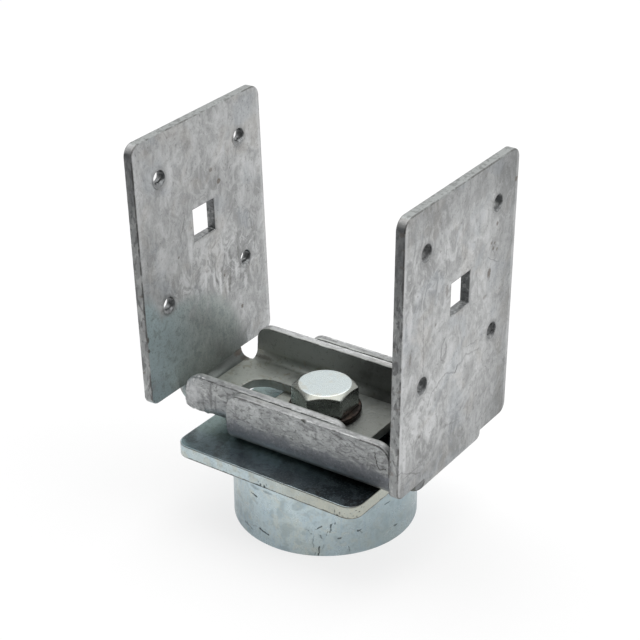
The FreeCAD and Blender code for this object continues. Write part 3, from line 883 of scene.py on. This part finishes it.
leftZinc = makeMetal("galvanisedSheetLeft", sheetZinc, leftMarks)
rightZinc = makeMetal("galvanisedSheetRight", sheetZinc, rightMarks)
capZinc = makeMetal("zincPlatedPlate", platedZinc, plateMarks)
collarZinc = makeMetal("zincPlatedTube", platedZinc, collarMarks)
boltZinc = makeMetal("zincPlatedBolt", smallParts, boltPlating)
washerSteel = makeMetal("brownedWasherSteel", smallParts, washerScale)
beadZinc = makeMetal("platedWeldBead", smallParts, weldMetal)
print("stage 3: materials")

# Folded sheets: the CAD mesh with its cut edges rounded
sheetEdges = {
    "softness": 0.45,
    "segments": 2,
    "sharpFrom": 30,         # degrees between faces, from which an edge is a cut one
    "room": 1.2,             # softnesses that both faces of the edge have to be wide
    "flatWithin": 1,         # degrees, up to which triangles are one face
    "samePoint": 0.002,
    "shadingWeight": 60,     # how much large faces lead the shading
}


def softenedSheet(name, node, look):
    # The rounded strips are marked "rim", for the material
    width = mm(look["softness"])
    bm = bmesh.new()
    bm.from_mesh(cadNodes[node].data)
    rim = bm.faces.layers.float.new("rim")
    bmesh.ops.remove_doubles(bm, verts=bm.verts, dist=mm(look["samePoint"]))
    bmesh.ops.dissolve_limit(bm, angle_limit=math.radians(look["flatWithin"]), verts=bm.verts, edges=bm.edges)

    def roomy(face):
        return face.calc_area() / max(edge.calc_length() for edge in face.edges) > look["room"] * width

    sharp = [edge for edge in bm.edges
             if len(edge.link_faces) == 2 and edge.calc_face_angle() > math.radians(look["sharpFrom"])
             and all(roomy(face) for face in edge.link_faces)]
    rounded = bmesh.ops.bevel(bm, geom=sharp, offset=width, offset_type="OFFSET", segments=look["segments"],
                              profile=0.5, affect="EDGES", clamp_overlap=False)
    for face in rounded["faces"]:
        face[rim] = 1.0
    return smoothMesh(name, bm)


for name, node, body, material in (("leftBracket", "left_bracket", "left", leftZinc),
                                   ("rightBracket", "right_bracket", "right", rightZinc)):
    piece = placePiece(name, softenedSheet(name, node, sheetEdges), body, material, (node,))
    weighted = piece.modifiers.new("evenShading", "WEIGHTED_NORMAL")
    weighted.weight = sheetEdges["shadingWeight"]

# Zinc that set in the lower part of the screw holes, and a small drip below each on the seen face
holeBeads = {
    "radius": 3.5,
    "across": (-26.0, 26.0),
    "heights": (88.25, 142.75),
    "spread": 118,           # degrees each way from the lowest point
    "steps": 26,
    "sunk": 0.05,            # into the hole's wall, so that no gap shows
    "lumps": 2.3,            # lumps along one bead
    "thin": 0.75,            # thickness between the lumps and what a lump adds
    "lumpy": 0.5,
    "fadeHeight": 0.5,       # a bead lower than this spills over the face less
    # Section: mm out past the wall, the same on the face, share of the height inwards, of the sheet's depth
    # from the seen face, and of the drip's height
    "section": [(0, 0, 0, 0.25, 0), (0, 0.9, 0, 0.02, 0), (0, 0.45, 0, 0, 1), (0, 0, 0.35, 0, 1),
                (0, 0, 0.75, 0.06, 0), (0, 0, 1, 0.3, 0), (0, 0, 0.95, 0.65, 0), (0, 0, 0.6, 0.92, 0),
                (0, 0, 0, 0.97, 0), (0.1, 0, 0, 0.6, 0)],
    "left": {"fold": (-52.5, 48.5), "lean": 2.0, "seenFace": 3.5, "farFace": 7.5, "thick": 1.75, "drip": 0.16},
    "right": {"fold": (52.5, 44.5), "lean": 0.8, "seenFace": 7.5, "farFace": 3.5, "thick": 1.1, "drip": 0.10},
}


def makeHoleBeads(name, look, part):
    side = math.copysign(1, part["fold"][0])
    slope = math.tan(math.radians(part["lean"]))
    tilt = math.cos(math.radians(part["lean"]))

    def faceX(distance, z):
        return part["fold"][0] + side * (distance / tilt + slope * (z - part["fold"][1]))

    bm = bmesh.new()
    wall = look["radius"] + look["sunk"]
    for number, (y, z) in enumerate((y, z) for z in look["heights"] for y in look["across"]):
        rings = []
        for step in range(look["steps"] + 1):
            share = step / look["steps"] * 2 - 1
            angle = math.radians(-90 + share * look["spread"])
            lump = 0.5 + noise.noise(Vector((share * look["lumps"], number * 5.1, 0.7)))
            height = max(0.0, math.cos(share * math.pi / 2)) ** 1.3 * (look["thin"] + look["lumpy"] * lump)
            height *= part["thick"]

            def at(radius, depth, proud=0.0):
                # depth 0 on the seen face, 1 on the far one
                py, pz = y + radius * math.cos(angle), z + radius * math.sin(angle)
                seen, far = faceX(part["seenFace"], pz), faceX(part["farFace"], pz)
                return (seen + (far - seen) * depth - math.copysign(proud, far - seen), py, pz)

            if step in (0, look["steps"]):
                rings.append([at(wall, 0.5)])
                continue
            fade = min(1.0, height / look["fadeHeight"])
            rings.append([at(wall + out + spill * fade - inward * height, depth, proud * part["drip"] * fade)
                          for out, spill, inward, depth, proud in look["section"]])
        joinRings(bm, rings)
    return smoothMesh(name, bm)


for name, side, material in (("leftHoleBeads", "left", leftZinc), ("rightHoleBeads", "right", rightZinc)):
    placePiece(name, makeHoleBeads(name, holeBeads, holeBeads[side]), side, material)

# Zinc that ran together over the left end of the front flange
zincRun = {
    "start": -50.9,          # just past the flange's end
    "flangeEnd": -49.95,
    "ragged": 0.55,
    "room": 0.28,            # clear of the other flange, which slides over it
    "end": -38.6,
    "step": 0.22,
    "levels": 28,
    "flangeFace": -26.7,
    "hiddenAt": 2.0,         # depth in the sheet at which the run's back lies
    "flangeTop": 59.6,
    "bendMiddle": (-19.2, 48.5),
    "bendRadius": 7.5,
    "bendFrom": 62,          # degrees below the bend's side, where the run starts
    "bendStep": 5,
    "cornerRadius": 6.5,
    "thick": 0.8,
    "ripple": 2.1,
    "rippleShare": 0.35,     # what ripples and lumps add to its least thickness
    "lumpShare": 0.45,
    "least": 0.20,
}


def makeZincRun(look):
    face, top = look["flangeFace"], look["flangeTop"]
    by, bz = look["bendMiddle"]
    hidden = look["hiddenAt"]
    x = look["flangeEnd"]
    columns = []
    while x < look["end"]:
        columns.append(x)
        x += look["step"]

    def loop(x, grow, height):
        # Outer half of the flange's section: round the bend, up the face, over the top and back inside
        points = []
        flat = look["room"] / look["thick"]
        for degrees in range(look["bendFrom"], -1, -look["bendStep"]):
            turn = math.radians(degrees)
            room = (look["bendRadius"] + look["room"]) / math.cos(turn) - look["bendRadius"]
            reach = look["bendRadius"] + grow(x, bz - degrees / 8) * min(1.0, room / look["thick"])
            points.append((x, by - reach * math.cos(turn), bz - reach * math.sin(turn)))
        for i in range(look["levels"]):
            level = bz + 0.4 + (height - bz - 1.0) * i / (look["levels"] - 1)
            points.append((x, face - grow(x, level) * flat, level))
        lift = grow(x, height)
        points += [(x, face - lift * flat, height - 0.2), (x, face - lift * flat * 0.2, height + lift * 0.6),
                   (x, face + 0.9, height + lift * 0.8), (x, face + hidden, height + lift * 0.1),
                   (x, face + hidden + 0.2, height - 0.5), (x, face + hidden, bz + 3), (x, face + hidden, bz)]
        for degrees in (30, 55):
            turn, reach = math.radians(degrees), look["bendRadius"] - 2.5
            points.append((x, by - reach * math.cos(turn), bz - reach * math.sin(turn)))
        return points

    def height(x):
        # The flange's top corner is rounded
        left = -50 + look["cornerRadius"]
        if x >= left:
            return top
        return top - look["cornerRadius"] + math.sqrt(max(0.0, look["cornerRadius"] ** 2 - (left - x) ** 2))

    def grow(x, level):
        warp = noise.noise(Vector((x * 0.35, level * 0.22, 3.1))) * 1.5
        ridge = 0.5 + 0.5 * math.cos(2 * math.pi * (x + 0.18 * (level - 48) + warp) / look["ripple"])
        lumps = 0.5 + noise.noise(Vector((x * 0.6, level * 0.5, 9.4)))
        edge = look["end"] - 1.6 + 2.4 * noise.noise(Vector((0.3, level * 0.45, 6.2)))
        fade = min(1.0, max(0.0, (edge - x) / 2.2))
        share = look["least"] + look["lumpShare"] * lumps + look["rippleShare"] * ridge
        return look["thick"] * min(1.0, share) * fade - 0.05

    rows = [loop(x, grow, height(x)) for x in columns]
    middle = Vector(rows[0][0]).lerp(Vector(rows[0][len(rows[0]) // 2]), 0.5)
    cap = []
    for share, x in ((0.0, look["start"]), (0.45, look["start"] + 0.06), (0.75, look["start"] + 0.2),
                     (0.93, look["start"] + 0.45)):
        ring = []
        for p in rows[0] if share else [(x, middle.y + 0.9, middle.z)]:
            spot = Vector((x, p[1], p[2])).lerp(Vector((x, middle.y + 0.9, middle.z)), 1 - share)
            spot.x -= look["ragged"] * (0.5 + noise.noise(Vector((spot.y * 0.6, spot.z * 0.6, 4.4))))
            ring.append(tuple(spot))
        cap.append(ring)
    centre = (look["end"], face + 1.2, 52.0)
    return skinRings("zincRun", cap + rows + [[centre]])


placePiece("zincRun", makeZincRun(zincRun), "left", leftZinc)

# Hexagon shared by the bolt's head and the nut
hexagon = {
    "acrossFlats": 24.0,
    "faceRadius": 10.75,
    "cornerCut": 0.22,      # how much the corners are worn off
    "edgeSoftness": 0.28,
    "points": 180,
}


def hexRadius(angle, turn, grow=0.0):
    flat = hexagon["acrossFlats"] / 2 + grow
    local = (angle - turn) % (math.pi / 3) - math.pi / 6
    return min(flat / math.cos(local), flat / math.cos(math.pi / 6) - hexagon["cornerCut"])


def chamferDrop(radius):
    return max(0.0, radius - hexagon["faceRadius"]) * math.tan(math.radians(30))


# Hex bolt: chamfered head and a rolled thread
bolt = {
    "turn": math.radians(32),
    "headTop": 58.0,
    "headBase": 48.0,
    "faceRings": (2.5, 5.0, 7.5, 9.3),
    "sideRings": (53.5, 51.0),
    "tip": 18.0,
    "tipRadius": 6.6,
    "tipSlope": 1.2,         # radius gained for each mm up from the tip
    "threadRadius": 7.98,
    "threadDepth": 1.2,
    "grooveSlope": 2.6,
    "pitch": 2.0,
    "neckLength": 2.6,
    "ringStep": 0.25,
}


def makeBolt(look):
    turn, count, soft = look["turn"], hexagon["points"], hexagon["edgeSoftness"]
    top, base, face = look["headTop"], look["headBase"], hexagon["faceRadius"]
    side = lambda angle: hexRadius(angle, turn)
    rings = [[(0, 0, top)]]
    rings += [ringAt(count, r, top, turn) for r in (*look["faceRings"], face - soft)]
    rings.append(ringAt(count, face, top - 0.04, turn))
    for part in (0.12, 0.35, 0.6, 0.85):
        radius = lambda a, p=part: face + (side(a) - face) * p
        rings.append(ringAt(count, radius, lambda a, r=radius: top - chamferDrop(r(a)), turn))
    rings.append(ringAt(count, lambda a: side(a) - 0.04, lambda a: top - chamferDrop(side(a)) - 0.06, turn))
    rings.append(ringAt(count, side, lambda a: top - chamferDrop(side(a)) - soft, turn))
    rings += [ringAt(count, side, z, turn) for z in (*look["sideRings"], base + soft)]
    rings.append(ringAt(count, lambda a: side(a) - 0.08, base + 0.08, turn))
    rings.append(ringAt(count, lambda a: side(a) - soft, base, turn))
    rings += [ringAt(count, r, base, turn) for r in (10.5, look["threadRadius"] + 0.3)]
    height = base - 0.3
    while height > look["tip"] + 0.01:
        def thread(angle, z=height):
            phase = (z / look["pitch"] - angle / (2 * math.pi)) % 1.0
            groove = max(0.0, 1.0 - abs(phase - 0.5) * look["grooveSlope"]) * look["threadDepth"]
            groove *= min(1.0, max(0.0, (base - look["neckLength"] - z) / 1.0))
            return min(look["threadRadius"] - groove, look["tipRadius"] + (z - look["tip"]) * look["tipSlope"])
        rings.append(ringAt(count, thread, height, turn))
        height -= look["ringStep"]
    rings.append(ringAt(count, 6.5, look["tip"], turn))
    rings.append(ringAt(count, 3.0, look["tip"] + 0.15, turn))
    rings.append([(0, 0, look["tip"] + 0.15)])
    return skinRings("hexBolt", rings)


placePiece("hexBolt", makeBolt(bolt), "clamp_bolt", boltZinc, ("hex_bolt",))

# Flat washer: punched, so its rim has a smooth band and a torn one
washer = {"outer": 15.0, "inner": 8.5, "base": 45.0, "top": 48.0, "points": 160}


def makeWasher(look):
    o, i, b, t = look["outer"], look["inner"], look["base"], look["top"]
    profile = [(i, b + 0.3), (i + 0.2, b + 0.02), (i + 1.0, b), (o - 1.2, b), (o - 0.45, b + 0.06),
               (o - 0.2, b + 0.35), (o - 0.22, b + 1.35), (o - 0.32, b + 1.5), (o - 0.02, b + 1.75),
               (o, b + 2.3), (o - 0.1, t - 0.35), (o - 0.45, t - 0.05), (o - 1.0, t),
               (i + 1.0, t), (i + 0.25, t - 0.03), (i, t - 0.3)]
    return skinRings("flatWasher", [ringAt(look["points"], r, z) for r, z in profile], closed=True)


placePiece("flatWasher", makeWasher(washer), "clamp_bolt", washerSteel, ("flat_washer",))

# Square plate with rounded corners
plate = {"side": 87.5, "corner": 6.0, "hole": 8.5, "base": 31.5, "top": 37.0, "turn": math.radians(-1),
         "edge": 0.4, "points": 320}


def plateRadius(angle, inset=0.0):
    # Distance from the axis to the rounded square's outline
    half, corner = plate["side"] / 2 - inset, plate["corner"] - inset
    c, s = abs(math.cos(angle - plate["turn"])), abs(math.sin(angle - plate["turn"]))
    straight = half / max(c, s)
    if min(c, s) * straight <= half - corner:
        return straight
    middle = half - corner
    along = middle * (c + s)
    return along + math.sqrt(along * along - 2 * middle * middle + corner * corner)


def makePlate(look):
    e, hole, count = look["edge"], look["hole"], look["points"]
    rings = []
    for level, sign in ((look["base"], 1), (look["top"], -1)):
        half = [ringAt(count, hole, level + sign * 0.3), ringAt(count, hole + 0.3, level)]
        for share in (0.15, 0.4, 0.7):
            radius = lambda a, s=share: (hole + 0.3) * (1 - s) + plateRadius(a, e * 1.6) * s
            half.append(ringAt(count, radius, level))
        half.append(ringAt(count, lambda a: plateRadius(a, e * 1.6), level))
        for step in (0, 30, 60, 90):
            lift = e * (1 - math.cos(math.radians(step)))
            pull = e * (1 - math.sin(math.radians(step)))
            half.append(ringAt(count, lambda a, p=pull: plateRadius(a, p), level + sign * lift))
        half.append(ringAt(count, plateRadius, level + sign * e * 1.6))
        rings += half if sign > 0 else half[::-1]
    return skinRings("capPlate", rings, closed=True)


placePiece("capPlate", makePlate(plate), "base", capZinc, ("cap_plate",))

# Collar: a sawn length of tube
collar = {"outer": 38.05, "wall": 2.9, "height": 31.5, "edge": 0.35, "points": 256}


def makeCollar(look):
    o, i, h, e = look["outer"], look["outer"] - look["wall"], look["height"], look["edge"]
    profile = []
    for r, z, outward, upward in ((o, 0, 1, -1), (o, h, 1, 1), (i, h, -1, 1), (i, 0, -1, -1)):
        arc = []
        for step in (0, 30, 60, 90):
            turn = math.radians(step)
            arc.append((r - outward * e * (1 - math.cos(turn)), z - upward * e * (1 - math.sin(turn))))
        profile += arc if outward == upward else arc[::-1]
    return skinRings("collarRing", [ringAt(look["points"], r, z) for r, z in profile], closed=True)


placePiece("collarRing", makeCollar(collar), "base", collarZinc, ("collar_ring",))

# Captive nut, chamfered at its free end
nut = {"turn": math.radians(-1), "base": 18.5, "top": 31.5, "bore": 8.05}


def makeNut(look):
    turn, count, soft, face = look["turn"], hexagon["points"], hexagon["edgeSoftness"], hexagon["faceRadius"]
    side = lambda angle: hexRadius(angle, turn)
    base, top, bore = look["base"], look["top"], look["bore"]
    rings = [ringAt(count, bore, top, turn), ringAt(count, lambda a: side(a) - soft, top, turn),
             ringAt(count, side, top - soft, turn), ringAt(count, side, 26.0, turn),
             ringAt(count, side, lambda a: base + chamferDrop(side(a)) + soft, turn),
             ringAt(count, lambda a: side(a) - 0.04, lambda a: base + chamferDrop(side(a)) + 0.06, turn)]
    for part in (0.85, 0.5, 0.12):
        radius = lambda a, p=part: face + (side(a) - face) * p
        rings.append(ringAt(count, radius, lambda a, r=radius: base + chamferDrop(r(a)), turn))
    rings += [ringAt(count, face, base + 0.04, turn), ringAt(count, face - soft, base, turn),
              ringAt(count, bore + 1.0, base, turn), ringAt(count, bore, base + 0.9, turn)]
    return skinRings("weldNut", rings, closed=True)


placePiece("weldNut", makeNut(nut), "base", boltZinc, ("weld_nut",))

# Weld beads: rounded fillets with ripples where the pool froze
bead = {
    "leg": 3.5,
    "cover": 0.98,           # share of the leg that the bead's crests reach
    "sunk": 0.05,            # into the wall, so that no gap shows
    "hollow": 0.9,           # how full its section is between the two walls
    "top": 31.5,
    "ripple": 1.9,
    "depth": 0.14,
    "points": 480,
}


def makeBead(name, look, wall, outward):
    # wall: radius of the standing surface, as a function of the angle
    leg, top, cover = look["leg"], look["top"], look["cover"]
    inWall = lambda a: wall(a) - outward * look["sunk"]

    def fillet(turnDegrees):
        share = math.radians(turnDegrees)

        def radius(angle):
            ripples = round(2 * math.pi * wall(angle) / look["ripple"])
            wave = abs(((angle * ripples / (2 * math.pi) + 0.25 * math.sin(share * 2)) % 1.0) - 0.5) * 2
            size = leg * (cover - look["depth"] * wave ** 2)
            return wall(angle) + outward * size * math.cos(share)
        return radius, top - leg * cover * math.sin(share)

    rings = [ringAt(look["points"], inWall, top)]
    for degrees in (0, 18, 36, 54, 72, 90):
        radius, height = fillet(degrees)
        if degrees == 90:
            radius = inWall
        squash = 1.0 if degrees in (0, 90) else look["hollow"]
        rings.append(ringAt(look["points"], lambda a, r=radius, s=squash: wall(a) + (r(a) - wall(a)) * s,
                            top - (top - height) * squash))
    return skinRings(name, rings, closed=True)


collarBead = makeBead("collarBead", bead, lambda a: collar["outer"] - collar["wall"], -1)
nutBead = makeBead("nutBead", bead, lambda a: hexRadius(a, nut["turn"]), 1)
placePiece("collarBead", collarBead, "base", beadZinc, ("collar_weld",))
placePiece("nutBead", nutBead, "base", beadZinc, ("nut_weld",))
print("stage 4: pieces")

bpy.context.scene.view_settings.view_transform = "Standard"
